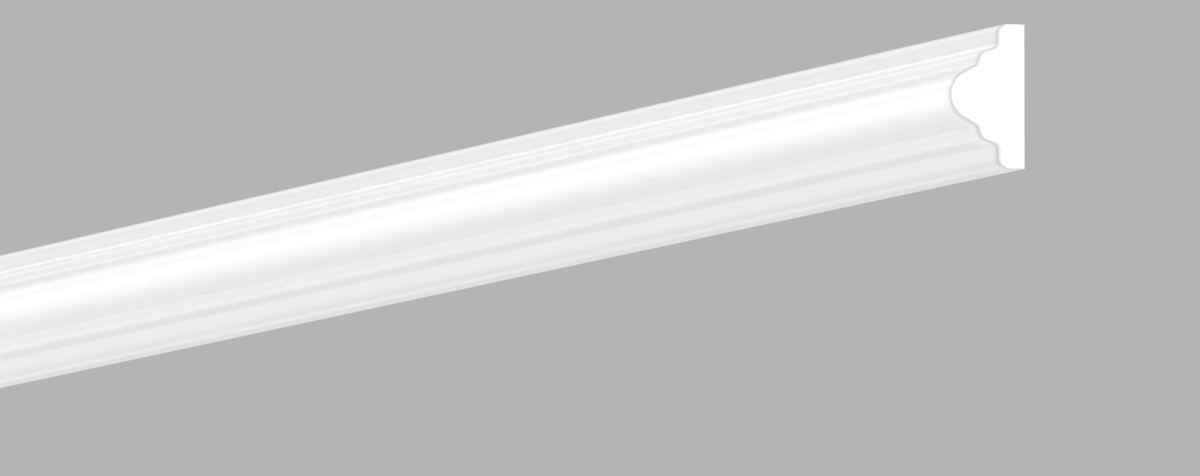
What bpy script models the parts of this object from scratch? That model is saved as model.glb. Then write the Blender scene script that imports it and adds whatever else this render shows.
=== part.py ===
"""A straight length of white wall moulding, sawn square at both ends.

The section is a half-round nose on sloping flanks, which rises from a step and a flat band on each side.
It is drawn as depth from the wall and height from the middle line, and it is extruded along X.
The back lies in the plane Y = 0, the face looks towards -Y and +Z is up the wall.
The origin is in the middle of the back. Lengths are in metres.
"""

import math

import bmesh
import bpy
from mathutils import Matrix, Vector

# Length of the run
LENGTH = 1.000

# Depths, from the wall out to the nose
BAND_DEPTH = 0.0082
STEP_RISE = 0.0060
NOSE_RISE = 0.0080

# Members of the upper half, from the middle line to the top edge
NOSE_RADIUS = 0.0072
FLANK_ANGLE = math.radians(62)
STEP_WIDTH = 0.0034
STEP_BATTER = math.radians(16)
LEDGE_ANGLE = math.radians(19)
BAND_WIDTH = 0.0063
BAND_BATTER = math.radians(2)

# Rounded corners, from the nose to the top edge
QUIRK_RADIUS = 0.0013
STEP_RADIUS = 0.0032
COVE_RADIUS = 0.0019
LIP_RADIUS = 0.0028

# Turn of the outline between two points of an arc
ARC_TURN = math.radians(3)

# Finish
COAT_COLOUR = (0.90, 0.90, 0.90, 1.0)
COAT_ROUGHNESS = 0.45


def clear_scene():
    for old in list(bpy.data.objects):
        bpy.data.objects.remove(old, do_unlink=True)


def arc(centre, start, turn):
    """Points from start round centre, through the angle turn."""
    count = max(2, math.ceil(abs(turn) / ARC_TURN))
    spoke = start - centre
    return [centre + Matrix.Rotation(turn * i / count, 2) @ spoke for i in range(count + 1)]


def rounded_corner(arriving, corner, leaving, radius, room):
    """The arc that rounds a corner, or a smaller one where its two sides have less room than it needs."""
    turn = math.atan2(arriving.cross(leaving), arriving.dot(leaving))
    tangent = radius * math.tan(abs(turn) / 2)
    shrink = room / max(room, tangent)
    start = corner - arriving.normalized() * tangent * shrink
    left = Vector((-arriving.y, arriving.x)).normalized()
    centre = start + left * math.copysign(radius * shrink, turn)
    return arc(centre, start, turn)


def members():
    """The corners of the upper half before rounding, from the foot of the nose's arc to the wall."""
    step_depth = BAND_DEPTH + STEP_RISE
    nose_centre = step_depth + NOSE_RISE - NOSE_RADIUS

    # The flank leaves the nose's arc along its tangent and falls to the depth of the step.
    flank_start = Vector((nose_centre, 0)) + Matrix.Rotation(FLANK_ANGLE, 2) @ Vector((NOSE_RADIUS, 0))
    flank_run = (flank_start.x - step_depth) / math.tan(FLANK_ANGLE)
    quirk = Vector((step_depth, flank_start.y + flank_run))

    # The step, its ledge and the band lie one outside the other.
    step_edge = quirk + Vector((-STEP_WIDTH * math.tan(STEP_BATTER), STEP_WIDTH))
    ledge_run = (step_edge.x - BAND_DEPTH) * math.tan(LEDGE_ANGLE)
    cove = Vector((BAND_DEPTH, step_edge.y + ledge_run))
    lip = cove + Vector((-BAND_WIDTH * math.tan(BAND_BATTER), BAND_WIDTH))
    return nose_centre, [flank_start, quirk, step_edge, cove, lip, Vector((0, lip.y))]


def upper_half():
    """The outline from the tip of the nose to the wall."""
    nose_centre, corners = members()
    centre = Vector((nose_centre, 0))
    outline = arc(centre, centre + Vector((NOSE_RADIUS, 0)), FLANK_ANGLE)
    radii = [QUIRK_RADIUS, STEP_RADIUS, COVE_RADIUS, LIP_RADIUS]
    for before, corner, after, radius in zip(corners, corners[1:], corners[2:], radii):
        arriving = corner - before
        leaving = after - corner
        room = min(arriving.length, leaving.length) / 2
        outline += rounded_corner(arriving, corner, leaving, radius, room)
    return outline + [corners[-1]]


def section():
    """The closed outline. The lower half is the upper one's mirror image."""
    upper = upper_half()
    lower = [Vector((point.x, -point.y)) for point in upper[:0:-1]]
    return lower + upper


def coat():
    material = bpy.data.materials.new("white_coat")
    material.use_nodes = True
    shader = material.node_tree.nodes["Principled BSDF"]
    shader.inputs["Base Color"].default_value = COAT_COLOUR
    shader.inputs["Roughness"].default_value = COAT_ROUGHNESS
    shader.inputs["Metallic"].default_value = 0.0
    return material


def moulding():
    """The section, drawn at the left end and extruded to the right end."""
    shape = bmesh.new()
    outline = [shape.verts.new((-LENGTH / 2, -point.x, point.y)) for point in section()]
    left_end = shape.faces.new(outline)
    run = bmesh.ops.extrude_face_region(shape, geom=[left_end])
    right_end = [item for item in run["geom"] if isinstance(item, bmesh.types.BMVert)]
    bmesh.ops.translate(shape, verts=right_end, vec=(LENGTH, 0, 0))
    bmesh.ops.recalc_face_normals(shape, faces=shape.faces)

    mesh = bpy.data.meshes.new("moulding")
    shape.to_mesh(mesh)
    shape.free()
    mesh.shade_smooth()
    mesh.set_sharp_from_angle(angle=math.radians(30))
    mesh.materials.append(coat())
    piece = bpy.data.objects.new("moulding", mesh)
    bpy.context.scene.collection.objects.link(piece)


clear_scene()
moulding()
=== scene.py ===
# %% [markdown]
# # A length of white wall moulding
#
# Panel moulding is sold in straight lengths of rigid foam with a thin coat of white primer.
# This script dresses the solid model of one length: it gives the moulding a finely drawn surface,
# a finish for each kind of surface, a camera, a floor and light.
# The surface is worked out with numpy as whole arrays and handed to Blender at once.

# %% Load the frame
import math

import bpy
import numpy as np
from mathutils import Matrix, Vector


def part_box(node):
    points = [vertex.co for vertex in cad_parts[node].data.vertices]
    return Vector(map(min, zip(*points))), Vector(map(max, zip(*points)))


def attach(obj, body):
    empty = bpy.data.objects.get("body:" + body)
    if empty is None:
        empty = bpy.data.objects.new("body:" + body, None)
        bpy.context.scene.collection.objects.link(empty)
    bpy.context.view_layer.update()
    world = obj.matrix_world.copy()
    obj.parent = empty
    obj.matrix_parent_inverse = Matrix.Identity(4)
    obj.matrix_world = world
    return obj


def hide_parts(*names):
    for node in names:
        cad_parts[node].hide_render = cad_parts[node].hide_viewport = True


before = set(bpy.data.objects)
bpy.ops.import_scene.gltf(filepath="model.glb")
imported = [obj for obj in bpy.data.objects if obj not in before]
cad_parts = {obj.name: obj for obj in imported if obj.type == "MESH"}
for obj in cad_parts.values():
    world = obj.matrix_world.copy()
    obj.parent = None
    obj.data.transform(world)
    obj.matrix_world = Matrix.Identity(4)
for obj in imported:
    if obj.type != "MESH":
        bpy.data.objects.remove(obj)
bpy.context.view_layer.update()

# %% [markdown]
# ## The camera
#
# The photograph looks along the moulding at a slant, from a little below and from far away, so that the
# run narrows only a little towards its far end. The camera therefore has a long lens.
# It is placed by three facts: the direction it looks from, its distance, and the point of the picture
# in which the middle of the near end's back edge lies.
# A still longer lens would narrow the run even less. But the views from other sides keep this lens and step
# back until the whole length fits, and with a longer one they would stand too far off to see anything.

# %% Place the camera
FRAME_WIDTH, FRAME_HEIGHT = 1200, 476
LENS_MM, SENSOR_MM = 670.0, 36.0
AZIMUTH, ELEVATION = 69.0, -4.766
DISTANCE = 6.167
END_X, END_Y = 1024.5, 96.7
FARTHEST_SEEN = 100.0


def direction(azimuth, elevation):
    """Unit vector from the moulding towards a place, by its azimuth and elevation in degrees.

    The azimuth turns from the front, -Y, to the right end, +X: its sine and cosine, both made shorter by the
    cosine of the elevation, give X and -Y. The sine of the elevation gives Z.
    """
    a, e = math.radians(azimuth), math.radians(elevation)
    return Vector((math.sin(a) * math.cos(e), -math.cos(a) * math.cos(e), math.sin(e)))


low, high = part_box("moulding")
end_middle = Vector((high.x, high.y, (low.z + high.z) / 2))
backward = direction(AZIMUTH, ELEVATION)
right = Vector((0, 0, 1)).cross(backward).normalized()
up = backward.cross(right)
metres_per_pixel = DISTANCE * SENSOR_MM / LENS_MM / FRAME_WIDTH
shift_right = (END_X - FRAME_WIDTH / 2) * metres_per_pixel
shift_up = (FRAME_HEIGHT / 2 - END_Y) * metres_per_pixel
camera_place = end_middle + backward * DISTANCE - right * shift_right - up * shift_up

camera = bpy.data.objects.new("camera", bpy.data.cameras.new("camera"))
camera.data.lens = LENS_MM
camera.data.sensor_width = SENSOR_MM
camera.data.clip_end = FARTHEST_SEEN
camera.matrix_world = Matrix.Translation(camera_place) @ Matrix((right, up, backward)).transposed().to_4x4()
bpy.context.scene.collection.objects.link(camera)
bpy.context.scene.camera = camera
print("camera at", [round(value, 3) for value in camera_place])

# %% [markdown]
# ## The section
#
# Seen from its end, the moulding is a half-round nose on two sloping flanks, which rises from a narrow
# step and a flat band on each side. The section is drawn as a chain of corners, and every corner is
# then rounded by an arc that touches both of its sides.
# Drawing it again from its sizes, instead of copying the solid's facets, gives arcs as smooth as the
# shading needs.

# %% Sizes of the section, in metres
BAND_DEPTH, STEP_RISE, NOSE_RISE = 0.0082, 0.0060, 0.0080
NOSE_RADIUS, FLANK_ANGLE = 0.0072, math.radians(62)
STEP_WIDTH, STEP_BATTER = 0.0034, math.radians(16)
LEDGE_ANGLE = math.radians(19)
BAND_WIDTH, BAND_BATTER = 0.0063, math.radians(2)
QUIRK_RADIUS, STEP_RADIUS, COVE_RADIUS, LIP_RADIUS = 0.0013, 0.0032, 0.0019, 0.0028
step_depth = BAND_DEPTH + STEP_RISE
print("depths: band %g, step %g, nose %g" % (BAND_DEPTH, step_depth, step_depth + NOSE_RISE))

# %% Arcs and rounded corners
ARC_TURN = math.radians(2)
LEAST_ARC_POINTS = 3


def arc(centre, radius, first, last):
    """Points on a circle: its centre plus the radius turned from the first to the last angle."""
    count = max(LEAST_ARC_POINTS, int(abs(last - first) / ARC_TURN) + 2)
    angle = np.linspace(first, last, count)
    return centre + radius * np.stack([np.cos(angle), np.sin(angle)], axis=1)


def rounded(before, corner, after, radius):
    """An arc that touches both sides of a corner.

    Its centre lies on the corner's bisector, and it starts and ends square to the two sides.
    """
    arriving = math.atan2(*(corner - before)[::-1])
    leaving = math.atan2(*(after - corner)[::-1])
    turn = (leaving - arriving + math.pi) % (2 * math.pi) - math.pi
    side = math.copysign(math.pi / 2, turn)
    tangent = radius * math.tan(abs(turn) / 2)
    start = corner - tangent * np.array([math.cos(arriving), math.sin(arriving)])
    centre = start + radius * np.array([math.cos(arriving + side), math.sin(arriving + side)])
    return arc(centre, radius, arriving - side, arriving - side + turn)


print("a quarter circle has", len(arc(np.zeros(2), 1.0, 0.0, math.pi / 2)), "points")

# %% Draw the upper half and mirror it
nose_centre = np.array([step_depth + NOSE_RISE - NOSE_RADIUS, 0.0])
flank_start = nose_centre + NOSE_RADIUS * np.array([math.cos(FLANK_ANGLE), math.sin(FLANK_ANGLE)])
flank_run = (flank_start[0] - step_depth) / math.tan(FLANK_ANGLE)
quirk = np.array([step_depth, flank_start[1] + flank_run])
step_edge = quirk + STEP_WIDTH * np.array([-math.tan(STEP_BATTER), 1.0])
cove = np.array([BAND_DEPTH, step_edge[1] + (step_edge[0] - BAND_DEPTH) * math.tan(LEDGE_ANGLE)])
lip = cove + BAND_WIDTH * np.array([-math.tan(BAND_BATTER), 1.0])
wall_edge = np.array([0.0, lip[1]])

upper_half = np.concatenate([
    arc(nose_centre, NOSE_RADIUS, 0.0, FLANK_ANGLE),
    rounded(flank_start, quirk, step_edge, QUIRK_RADIUS),
    rounded(quirk, step_edge, cove, STEP_RADIUS),
    rounded(step_edge, cove, lip, COVE_RADIUS),
    rounded(cove, lip, wall_edge, LIP_RADIUS),
    wall_edge[None],
])
lower_half = (upper_half * [1.0, -1.0])[:0:-1]
front_outline = np.concatenate([lower_half, upper_half])
face_height = 2 * wall_edge[1]
print("section: %.2f mm high, %.2f mm deep" % (face_height * 1000, front_outline[:, 0].max() * 1000))

# %% [markdown]
# ## The surface
#
# The moulding is one closed surface. It is worked out as a grid: along one way the grid goes round the
# section, and along the other it goes from the middle of the left end, over its edge, down the run
# and over the right end's edge to its middle. An extruded outline would make the run as well, but a grid
# can also carry the coat's relief and the finer parts of the ends.
# The primer is drawn through a die, so its surface has very faint lines that run the whole length and
# wander a little. They are real relief here, a few hundredths of a millimetre high at the most.

# %% Space the points round the section
POINT_SPACING = 0.00022
BACK_SPACING = 0.0010
LEAST_GAP_SHARE = 0.05
CORNER_CLEAR = 0.0008


def filled_in(points, spacing):
    """The same chain of points, with more of them wherever two lie further apart than the spacing.

    The chain is measured by its running length, and the old and the new lengths are read off together.
    Points much closer than the spacing are left out.
    """
    reach = np.concatenate([[0.0], np.cumsum(np.hypot(*np.diff(points, axis=0).T))])
    wanted = np.union1d(reach, np.linspace(0.0, reach[-1], int(reach[-1] / spacing)))
    wanted = wanted[np.concatenate([[True], np.diff(wanted) > spacing * LEAST_GAP_SHARE])]
    return np.stack([np.interp(wanted, reach, points[:, 0]), np.interp(wanted, reach, points[:, 1])], axis=1)


front = filled_in(front_outline, POINT_SPACING)
# A ring that is moved inwards would fold over itself if points lay close to the sharp corners at the wall.
clear = front[:, 0] > CORNER_CLEAR
clear[[0, -1]] = True
front = front[clear]
back = filled_in(np.array([wall_edge, wall_edge * [1, -1]]), BACK_SPACING)[1:-1]
loop = np.concatenate([front, back])
print("points round the section:", len(front), "on the coat and", len(back), "on the back")

# %% Relief of the coat
DRAW_LINES = 26
DRAW_LINE_WIDTHS = (0.0009, 0.0060)
DRAW_LINE_HEIGHT = 0.0000040
WANDER_LENGTHS = (0.12, 0.60)
WANDER_TURN = 0.9
SEED = 11
chance = np.random.default_rng(SEED)


def draw_lines(along, around):
    """Height of the coat's faint lines, for places along the run and places round the section.

    It is a sum of waves across the section. The wider a wave, the higher it is, and its phase swings slowly
    to and fro along the run, so that no line is quite straight.
    """
    width = np.geomspace(*DRAW_LINE_WIDTHS, DRAW_LINES)
    height = DRAW_LINE_HEIGHT * np.sqrt(width / width.max())
    start, swing_start = chance.uniform(0, 2 * math.pi, (2, DRAW_LINES))
    swing_length = chance.uniform(*WANDER_LENGTHS, DRAW_LINES)
    swing = WANDER_TURN * np.sin(2 * math.pi * along[:, None] / swing_length + swing_start)
    phase = 2 * math.pi * around[None, :, None] / width + (start + swing)[:, None, :]
    return (height * np.sin(phase)).sum(axis=2)


def corner_normals(closed):
    """Outward direction at each point of a closed chain, long enough to keep both sides at distance one.

    The two sides' unit normals are added and divided by one plus their dot product.
    """
    side = np.roll(closed, -1, axis=0) - closed
    after = np.stack([side[:, 1], -side[:, 0]], axis=1) / np.hypot(*side.T)[:, None]
    before = np.roll(after, 1, axis=0)
    return (before + after) / (1 + (before * after).sum(axis=1))[:, None]


normals = corner_normals(loop)
around = np.concatenate([[0.0], np.cumsum(np.hypot(*np.diff(loop, axis=0).T))])
print("way round the section: %.1f mm" % (around[-1] * 1000))

# %% [markdown]
# The ends are sawn. The saw leaves a crisp edge, eased here by a few hundredths of a millimetre. Just
# inside it the cut shows the coat as a thin grey line, and next to that the paler foam that has soaked up
# primer. Both were put on from the front, so they are deepest where the section faces forwards and run out
# to nothing on the two long edges, which face up and down. The tight skin of the nose soaks up little.
# Each ring of the grid is the section moved inwards by some inset, and the rings of a sawn face are the
# innermost one shrunk towards a middle point.

# %% Place and inset of each ring
RUN_RINGS = 120
FACE_RINGS = 8
ARRIS = 0.00006
ARRIS_RINGS = 3
GUARD = 0.00012
FACE_MIDDLE = np.array([0.006, 0.0])

half_length = high.x
share = np.linspace(0.0, 1.0, FACE_RINGS + 1)[1:]
quarter = np.linspace(0.0, math.pi / 2, ARRIS_RINGS + 1)

# One end's rings: the foam from the middle outwards, the soaked foam's rim, and the eased edge.
eased = half_length - ARRIS * (1 - np.cos(quarter))
end_place = np.concatenate([np.full(FACE_RINGS + 1, half_length), eased])
end_inset = np.concatenate([np.full(FACE_RINGS + 1, ARRIS), ARRIS * (1 - np.sin(quarter))])
end_scale = np.concatenate([share, np.ones(ARRIS_RINGS + 2)])
# A ring close behind each eased edge keeps the edge's shading from spreading down the run.
run_half = half_length - GUARD
run_place = np.linspace(-run_half, run_half, RUN_RINGS)

place = np.concatenate([-end_place, run_place, end_place[::-1]])
inset = np.concatenate([end_inset, np.zeros(RUN_RINGS), end_inset[::-1]])
scale = np.concatenate([end_scale, np.ones(RUN_RINGS), end_scale[::-1]])
ring_number = np.minimum(np.arange(len(place)), np.arange(len(place))[::-1])[:, None]
print("rings:", len(place))

# %% Depth of the coat and of the soaked foam
COAT_DEPTH = 0.00040
SOAK_DEPTH = 0.00060
DEPTH_SWING = 0.12
LONG_SWING, SHORT_SWING, SHORT_SWING_START = 0.0031, 0.0013, 1.0
FULL_COAT_FROM = 0.25
NOSE_SOAK = 0.30
NOSE_FOOT = 0.0020

forwards = np.clip(normals[:, 0] / np.hypot(*normals.T), 0.0, 1.0)
swing = 1 + DEPTH_SWING * np.sin(around / LONG_SWING) * np.sin(around / SHORT_SWING + SHORT_SWING_START)
coat_inset = COAT_DEPTH * swing * np.clip(forwards / FULL_COAT_FROM, 0.0, 1.0)
soaks = np.interp(loop[:, 0], (step_depth, step_depth + NOSE_FOOT), (1.0, NOSE_SOAK))
soak_inset = SOAK_DEPTH * swing * forwards * soaks
print("coat up to %.2f mm, soaked foam up to %.2f mm" % (coat_inset.max() * 1000, soak_inset.max() * 1000))

# %% Work out every point
on_coat = (np.arange(len(loop)) > 0) & (np.arange(len(loop)) < len(front) - 1)
relief = np.where(on_coat, draw_lines(place, around), 0.0)
outward = relief - inset[:, None]
outward = outward - np.where(ring_number <= FACE_RINGS, coat_inset, 0.0)
outward = outward - np.where(ring_number < FACE_RINGS, soak_inset, 0.0)
rings = FACE_MIDDLE + scale[:, None, None] * (loop + outward[:, :, None] * normals - FACE_MIDDLE)
run = np.broadcast_to(place[:, None], outward.shape)
points = np.stack([run, -rings[:, :, 0], rings[:, :, 1]], axis=2)
middles = np.array([[side * half_length, -FACE_MIDDLE[0], FACE_MIDDLE[1]] for side in (-1, 1)])
print("points:", points.shape, "relief up to %.4f mm" % (abs(relief).max() * 1000))

# %% Join the points into a closed mesh
COAT, FOAM, BACK, SOAKED, COAT_EDGE = range(5)
SHARP_ANGLE = math.radians(35)

number = np.arange(points.shape[0] * points.shape[1]).reshape(points.shape[:2])
beside = np.roll(number, -1, axis=1)
quads = np.stack([number[:-1], number[1:], beside[1:], beside[:-1]], axis=2)
left_middle, right_middle = number.size, number.size + 1
left_fan = np.stack([np.full(len(loop), left_middle), number[0], beside[0]], axis=1)
right_fan = np.stack([number[-1], np.full(len(loop), right_middle), beside[-1]], axis=1)

mesh = bpy.data.meshes.new("moulding_length")
faces = quads.reshape(-1, 4).tolist() + left_fan.tolist() + right_fan.tolist()
mesh.from_pydata(np.concatenate([points.reshape(-1, 3), middles]), [], faces)
mesh.shade_smooth()
mesh.set_sharp_from_angle(angle=SHARP_ANGLE)
moulding = bpy.data.objects.new("moulding_length", mesh)
bpy.context.scene.collection.objects.link(moulding)
print("faces:", len(mesh.polygons), "triangles:", 2 * quads.size // 4 + 2 * len(loop))

# %% Give each face its kind of surface
between = np.minimum(np.arange(len(quads)), np.arange(len(quads))[::-1])[:, None]
back_column = np.arange(len(loop))[None] >= len(front) - 1
kind = np.where(back_column, BACK, COAT)
kind = np.where(between == FACE_RINGS, np.where(back_column, FOAM, COAT_EDGE), kind)
kind = np.where(between == FACE_RINGS - 1, np.where(back_column, FOAM, SOAKED), kind)
kind = np.where(between < FACE_RINGS - 1, FOAM, kind)
face_kind = np.concatenate([kind.reshape(-1), np.full(2 * len(loop), FOAM)]).astype(np.int32)
print("faces of coat, foam, back, soaked foam and cut coat:", np.bincount(face_kind).tolist())

# %% [markdown]
# ## Tools for the finishes
#
# A finish is a small sum of patterns, so it is written as one. `Wire` stands for an output socket, and
# adding or multiplying wires that carry numbers adds Math nodes to the material.
# `Nodes` adds any other node, from its type, its settings and its sockets, and `Finish` holds a material
# and the patterns that the finishes share.

# %% Wires and nodes
class Wire:
    """An output socket that can be added, taken away and multiplied."""

    def __init__(self, nodes, socket):
        self.nodes, self.socket = nodes, socket

    def _maths(self, operation, first, second):
        """A Math node on two values, wires or plain numbers."""
        return self.nodes.add("ShaderNodeMath", {"operation": operation}, {0: first, 1: second})

    def __add__(self, other):
        return self._maths("ADD", self, other)

    def __sub__(self, other):
        return self._maths("SUBTRACT", self, other)

    def __rsub__(self, other):
        return self._maths("SUBTRACT", other, self)

    def __mul__(self, other):
        return self._maths("MULTIPLY", self, other)

    __radd__ = __add__
    __rmul__ = __mul__


class Nodes:
    """The nodes of a material or a world."""

    def __init__(self, tree):
        self.tree = tree

    def fill(self, node, sockets):
        """Links the sockets that are given a wire, and sets the others to their value."""
        for name, value in sockets.items():
            if isinstance(value, Wire):
                self.tree.links.new(value.socket, node.inputs[name])
            else:
                node.inputs[name].default_value = value

    def add(self, kind, settings, sockets, output=0):
        """Adds a node, sets it, fills its sockets, and gives one of its outputs."""
        node = self.tree.nodes.new(kind)
        for name, value in settings.items():
            setattr(node, name, value)
        self.fill(node, sockets)
        return Wire(self, node.outputs[output])


print("nodes can:", [name for name in vars(Nodes) if not name.startswith("_")])

# %% A finish
class Finish(Nodes):
    """A material with a Principled BSDF, whose plain values are set on the shader's own sockets."""

    def __init__(self, name, **plain):
        self.material = bpy.data.materials.new(name)
        self.material.use_nodes = True
        super().__init__(self.material.node_tree)
        self.shader = self.tree.nodes["Principled BSDF"]
        self.wear(**plain)
        self.place = self.add("ShaderNodeTexCoord", {}, {}, output="Object")

    def wear(self, **sockets):
        """Sets or links the shader's sockets, which are named in lower case with underscores."""
        titles = {name: name.replace("_", " ").title().replace("Ior", "IOR") for name in sockets}
        self.fill(self.shader, {titles[name]: value for name, value in sockets.items()})
        return self.material

    def coordinate(self, axis):
        """The piece's own X, Y or Z, in metres."""
        return self.add("ShaderNodeSeparateXYZ", {}, {"Vector": self.place}, output=axis)

    def noise(self, size, detail=2.0, roughness=0.5):
        """Noise whose spots measure size = (x, y, z) in metres, from 0 to 1."""
        stretched = self.add("ShaderNodeMapping", {}, {"Vector": self.place, "Scale": [1 / s for s in size]})
        sockets = {"Vector": stretched, "Scale": 1.0, "Detail": detail, "Roughness": roughness}
        return self.add("ShaderNodeTexNoise", {}, sockets)

    def step(self, value, start, end):
        """A smooth rise from 0 where the value is at the start to 1 where it is at the end."""
        sockets = {"Value": value, "From Min": start, "From Max": end}
        return self.add("ShaderNodeMapRange", {"interpolation_type": "SMOOTHSTEP"}, sockets)

    def stripe(self, value, outer, inner, far_inner, far_outer):
        """A stripe: 0 up to the outer value, 1 between the inner ones, and 0 again past the far outer one."""
        return self.step(value, outer, inner) * self.step(value, far_outer, far_inner)

    def colour(self, share, first, second):
        """The mix of two colours, by a share from 0 to 1."""
        return self.add("ShaderNodeMix", {"data_type": "RGBA"}, {0: share, 6: first, 7: second}, output=2)

    def bump(self, height, distance):
        """The surface tilted by a height from 0 to 1, as if 1 stood the distance out, in metres."""
        return self.add("ShaderNodeBump", {}, {"Height": height, "Distance": distance, "Strength": 1.0})


def grey(value, blue=0.0):
    """An opaque grey, with this much more or less blue."""
    return (value, value, value + blue, 1.0)


print("a finish can:", [name for name in vars(Finish) if not name.startswith("_")])

# %% [markdown]
# ## The coat
#
# The primer is a white satin. Close up it has three kinds of unevenness: lines left by the die, which run
# along the length, a soft orange peel, and a fine grain that takes the gloss off.
# All three only tilt the surface, so they go into one bump. The colour hardly changes: it has wide soft
# clouds and short fine streaks. The coat is greyer along the two lips and the upper step's edge, in the
# upper cove and quirk, and for the last millimetres before the saw cut. These greys are painted shade:
# the shade of the hollows in the cove and quirk, of edges turned from the light along the lips and the
# step, and of the eased edge before the cut, deeper in its lower part.
# Each of these greys comes and goes between heights on the section, or between places along the run.

# %% Patterns of the coat: size of their spots along X, Y and Z, and share
DIE_LINES, DIE_LINE_SHARE = (0.160, 0.00045, 0.00045), 0.60
ORANGE_PEEL, ORANGE_PEEL_SHARE = (0.0016, 0.0011, 0.0011), 0.25
GRAIN, GRAIN_SHARE = (0.00018, 0.00018, 0.00018), 0.15
COAT_BUMP = 0.00002
CLOUDS, CLOUD_SHARE = (0.090, 0.004, 0.004), 0.55
STREAKS, STREAK_SHARE = (0.022, 0.00055, 0.00055), 0.45
DULL_WHITE, CLEAR_WHITE = grey(0.855, 0.001), grey(0.915, 0.001)
GLOSSY_SPOTS, DULL_SPOTS = 0.38, 0.52
print("relief of the coat up to %.3f mm by bump" % (COAT_BUMP * 1000))

# %% Painted shade on the coat: its shares, and the heights between which it comes and goes
# The grey of all the painted shade on the coat.
PAINTED_SHADE_GREY = grey(0.62)
LOW_LIP_SHARE, LOW_LIP = 0.56, (-0.0162, -0.0186, -0.0189, -0.0195)
HIGH_LIP_SHARE, HIGH_LIP = 0.12, (0.0175, 0.0190)
STEP_EDGE_SHARE, UPPER_STEP_EDGE = 0.09, (0.0121, 0.0115, 0.0109, 0.0103)
COVE_SHARE, UPPER_COVE = 0.20, (0.0156, 0.0149, 0.0144, 0.0139)
QUIRK_SHARE, UPPER_QUIRK = 0.07, (0.0094, 0.0090, 0.0086, 0.0082)
# Painted shade of the eased edge before each cut, with a larger share in the lower part.
CUT_SHARE, LOW_CUT_SHARE, LOWER_PART = 0.68, 0.12, (0.002, -0.008)
CUT_LENGTH, CUT_EDGE = 0.0025, 0.0002
print("the coat is greyer for %.1f mm before each cut" % (CUT_LENGTH * 1000))


# %% Make the coat
def coat_finish():
    """White, with clouds, streaks and greys in its colour and grain in its roughness.

    The height in its bump is the sum of lines, peel and grain, each by its share.
    """
    coat = Finish("white_coat", specular_ior_level=0.4)
    lines = coat.noise(DIE_LINES, detail=3.0, roughness=0.6)
    peel = coat.noise(ORANGE_PEEL)
    grain = coat.noise(GRAIN, detail=1.0)
    clouds = coat.noise(CLOUDS, detail=3.0)
    streaks = coat.noise(STREAKS, detail=1.0)
    along, level = coat.coordinate("X"), coat.coordinate("Z")

    # Painted shade along the two lips and the upper step's edge.
    lip_and_edge_shade = LOW_LIP_SHARE * coat.stripe(level, *LOW_LIP) + HIGH_LIP_SHARE * coat.step(level, *HIGH_LIP)
    lip_and_edge_shade = lip_and_edge_shade + STEP_EDGE_SHARE * coat.stripe(level, *UPPER_STEP_EDGE)
    # Painted shade in the upper cove and quirk, where the hollows lie in shade.
    hollow_shade = COVE_SHARE * coat.stripe(level, *UPPER_COVE) + QUIRK_SHARE * coat.stripe(level, *UPPER_QUIRK)
    # Painted shade of the eased edge for the last millimetres before each cut, deeper in the lower part.
    at_cut = coat.step(along, half_length - CUT_LENGTH, half_length - CUT_EDGE)
    at_cut = at_cut + coat.step(along, CUT_LENGTH - half_length, CUT_EDGE - half_length)
    sawn = at_cut * (CUT_SHARE + LOW_CUT_SHARE * coat.step(level, *LOWER_PART))

    unshaded_white = coat.colour(CLOUD_SHARE * clouds + STREAK_SHARE * streaks, DULL_WHITE, CLEAR_WHITE)
    height = DIE_LINE_SHARE * lines + ORANGE_PEEL_SHARE * peel + GRAIN_SHARE * grain
    return coat.wear(
        base_color=coat.colour(lip_and_edge_shade + hollow_shade + sawn, unshaded_white, PAINTED_SHADE_GREY),
        roughness=GLOSSY_SPOTS + (DULL_SPOTS - GLOSSY_SPOTS) * grain,
        normal=coat.bump(height, COAT_BUMP),
    )


white_coat = coat_finish()
print(white_coat.name, "has", len(white_coat.node_tree.nodes), "nodes")

# %% [markdown]
# ## The sawn ends
#
# The saw cuts through a fine-celled foam that is white all through. The open cells are a fifth of a
# millimetre across, and the blade leaves slanting scores a little over half a millimetre apart.
# Modelled cells would need far too many faces, so they are a pattern of the finish: a Voronoi texture
# draws the cells, and a noise stretched along the slant draws the scores.
# Round the foam runs the cut coat, and between them the foam that has soaked up primer. Both are spotted
# greys, and they are darker in the lower half, as in the photograph: that darkening is painted shade.

# %% Make the foam
CELLS_PER_METRE = 4500.0
CELL_SHARE, WALL_WHITE, CELL_WHITE = 0.4, grey(0.93, -0.01), grey(0.88, -0.01)
SCORE_SLANT, SCORES_PER_METRE, SCORE_SHARE = math.radians(24), (60, 90, 1700), 0.6
FOAM_BUMP = 0.00003


def foam_finish():
    """White cells, and scores across them in the bump."""
    foam = Finish("sawn_foam", roughness=0.75, specular_ior_level=0.3)
    sockets = {"Vector": foam.place, "Scale": CELLS_PER_METRE}
    cells = foam.add("ShaderNodeTexVoronoi", {}, sockets, output="Distance")
    sockets = {"Vector": foam.place, "Rotation": (SCORE_SLANT, 0, 0), "Scale": SCORES_PER_METRE}
    slanting = foam.add("ShaderNodeMapping", {}, sockets)
    scores = foam.add("ShaderNodeTexNoise", {}, {"Vector": slanting, "Scale": 1.0, "Detail": 3.0})
    return foam.wear(
        base_color=foam.colour(cells, WALL_WHITE, CELL_WHITE),
        normal=foam.bump(SCORE_SHARE * scores - CELL_SHARE * cells, FOAM_BUMP),
    )


sawn_foam = foam_finish()
print(sawn_foam.name, "has", len(sawn_foam.node_tree.nodes), "nodes")

# %% Make the cut coat and the soaked foam
RIM_SPOTS, RIM_SPOT_SHARE = (0.0004, 0.0004, 0.0004), 0.25
# Painted shade: the rims are darker towards the bottom of the section.
RIM_SHADE_HEIGHTS, RIM_SHADE_SHARE = (-0.007, 0.003), 0.75


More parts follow.
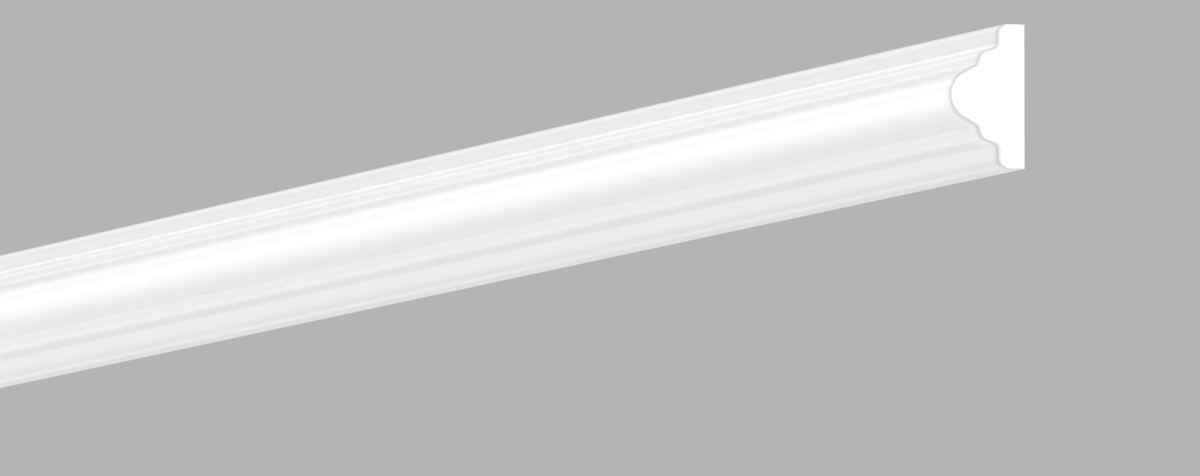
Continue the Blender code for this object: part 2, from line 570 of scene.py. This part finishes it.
def rim_finish(name, dark, pale):
    """Fine spots on a grey that rises from dark to pale with the height."""
    rim = Finish(name, roughness=0.55)
    spots = rim.noise(RIM_SPOTS)
    # Painted shade, darker towards the bottom of the section.
    rise = rim.step(rim.coordinate("Z"), *RIM_SHADE_HEIGHTS)
    return rim.wear(base_color=rim.colour(RIM_SPOT_SHARE * spots + RIM_SHADE_SHARE * rise, dark, pale))


soaked_foam = rim_finish("soaked_foam", grey(0.70), grey(0.82))
cut_coat = rim_finish("cut_edge_of_coat", grey(0.53), grey(0.67))
print(soaked_foam.name, "and", cut_coat.name, "have", len(cut_coat.node_tree.nodes), "nodes each")

# %% [markdown]
# ## The back
#
# The back has no primer. It is the foam's own skin, planed flat so that glue takes to it, with faint
# lines along the length where the planer's knives passed. It lies on the wall and has to be flat, so the
# finish alone draws its lines and cells.

# %% Make the back
KNIFE_LINES, KNIFE_LINE_SHARE = (0.300, 0.0008, 0.0008), 0.7
SKIN_CELLS, SKIN_CELL_SHARE = (0.0005, 0.0005, 0.0005), 0.3
SKIN_DARK, SKIN_PALE = grey(0.80, -0.02), grey(0.87, -0.015)
BACK_BUMP = 0.00005


def back_finish():
    """A warm white with fine cells, and the knives' lines in the bump."""
    skin = Finish("planed_back", roughness=0.7, specular_ior_level=0.3)
    knives = skin.noise(KNIFE_LINES, detail=3.0, roughness=0.6)
    cells = skin.noise(SKIN_CELLS)
    return skin.wear(
        base_color=skin.colour(cells, SKIN_DARK, SKIN_PALE),
        normal=skin.bump(KNIFE_LINE_SHARE * knives + SKIN_CELL_SHARE * cells, BACK_BUMP),
    )


planed_back = back_finish()
print(planed_back.name, "has", len(planed_back.node_tree.nodes), "nodes")

# %% [markdown]
# The dressed length takes its finishes in the order of the kinds of surface. It stands for the solid and
# rides with it.

# %% Put the moulding in the frame
for finish in (white_coat, sawn_foam, planed_back, soaked_foam, cut_coat):
    mesh.materials.append(finish)
mesh.polygons.foreach_set("material_index", face_kind)
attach(moulding, "root")
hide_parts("moulding")
print("finishes:", [finish.name for finish in mesh.materials])

# %% [markdown]
# ## Floor and light
#
# The floor lies well below the moulding, because the camera looks up at it a little. It is matt and has
# nearly the tone of the backdrop, so that the line in which the two meet hardly shows.
# The light is that of a bright studio: the air glows evenly, and soft lamps lift the surfaces that face
# them. The moulding is all white, so its shape shows mostly by the lamps. The two key lamps make the band
# of light on the upper side of the nose, the low one keeps the ledges that face down from going dark, and
# the lamps in front, at the side, along the run and over it fill the rest.
# The end lamp makes the sawn end plain white, and the rear one lights the back for the views from behind.

# %% Lay the floor
FLOOR_LEVEL = -0.62
FLOOR_HALF = 60.0
floor_mesh = bpy.data.meshes.new("floor")
corners = [(x * FLOOR_HALF, y * FLOOR_HALF, FLOOR_LEVEL) for x, y in ((-1, -1), (1, -1), (1, 1), (-1, 1))]
floor_mesh.from_pydata(corners, [], [(0, 1, 2, 3)])
floor = bpy.data.objects.new("floor", floor_mesh)
bpy.context.scene.collection.objects.link(floor)
floor.visible_shadow = floor.visible_diffuse = floor.visible_glossy = False
floor_finish = Finish("pale_floor", base_color=grey(0.57), roughness=0.9, specular_ior_level=0.0)
floor_mesh.materials.append(floor_finish.material)
print("floor %.2f m below the moulding's middle" % -FLOOR_LEVEL)

# %% Let the air glow
AIR_GLOW = 0.15
BACKDROP = grey(0.456)

scene = bpy.context.scene
scene.view_settings.view_transform = "Standard"
world = bpy.data.worlds.new("studio")
world.use_nodes = True
scene.world = world
air = Nodes(world.node_tree)
glow = world.node_tree.nodes["Background"]
air.fill(glow, {"Color": grey(1.0), "Strength": AIR_GLOW})
backdrop = air.add("ShaderNodeBackground", {}, {"Color": BACKDROP})
seen = air.add("ShaderNodeLightPath", {}, {}, output="Is Camera Ray")
either = air.add("ShaderNodeMixShader", {}, {0: seen, 1: Wire(air, glow.outputs[0]), 2: backdrop})
air.fill(world.node_tree.nodes["World Output"], {"Surface": either})
print("air glows at", AIR_GLOW)

# %% Light the lamps
# Each lamp has an azimuth and elevation in degrees, a strength, and a spread in degrees that softens it.
LAMPS = {
    "key": (-60, 35, 1.39, 14),
    "key_fill": (-45, 35, 0.95, 14),
    "front": (0, 25, 0.575, 14),
    "side": (-60, 0, 0.53, 30),
    "along": (-85, -10, 0.11, 14),
    "along_low": (-85, -20, 0.26, 30),
    "over": (-105, 40, 0.276, 30),
    "low": (-30, -50, 1.76, 14),
    "end": (110, -20, 3.40, 30),
    "rear": (180, 10, 1.20, 50),
}


def light(name, azimuth, elevation, strength, spread):
    """A soft lamp, far away in the direction of its azimuth and elevation."""
    lamp = bpy.data.objects.new(name, bpy.data.lights.new(name, "SUN"))
    lamp.data.energy = strength
    lamp.data.angle = math.radians(spread)
    lamp.rotation_mode = "QUATERNION"
    lamp.rotation_quaternion = direction(azimuth, elevation).to_track_quat("Z", "Y")
    scene.collection.objects.link(lamp)


for name, setting in LAMPS.items():
    light(name, *setting)
print("lamps:", sorted(LAMPS))

# %% [markdown]
# ## Last step
#
# The dressed length has to keep to the solid's box, but for the few hundredths of a millimetre of the
# coat's relief.

# %% Bring the scene up to date
bpy.context.view_layer.update()
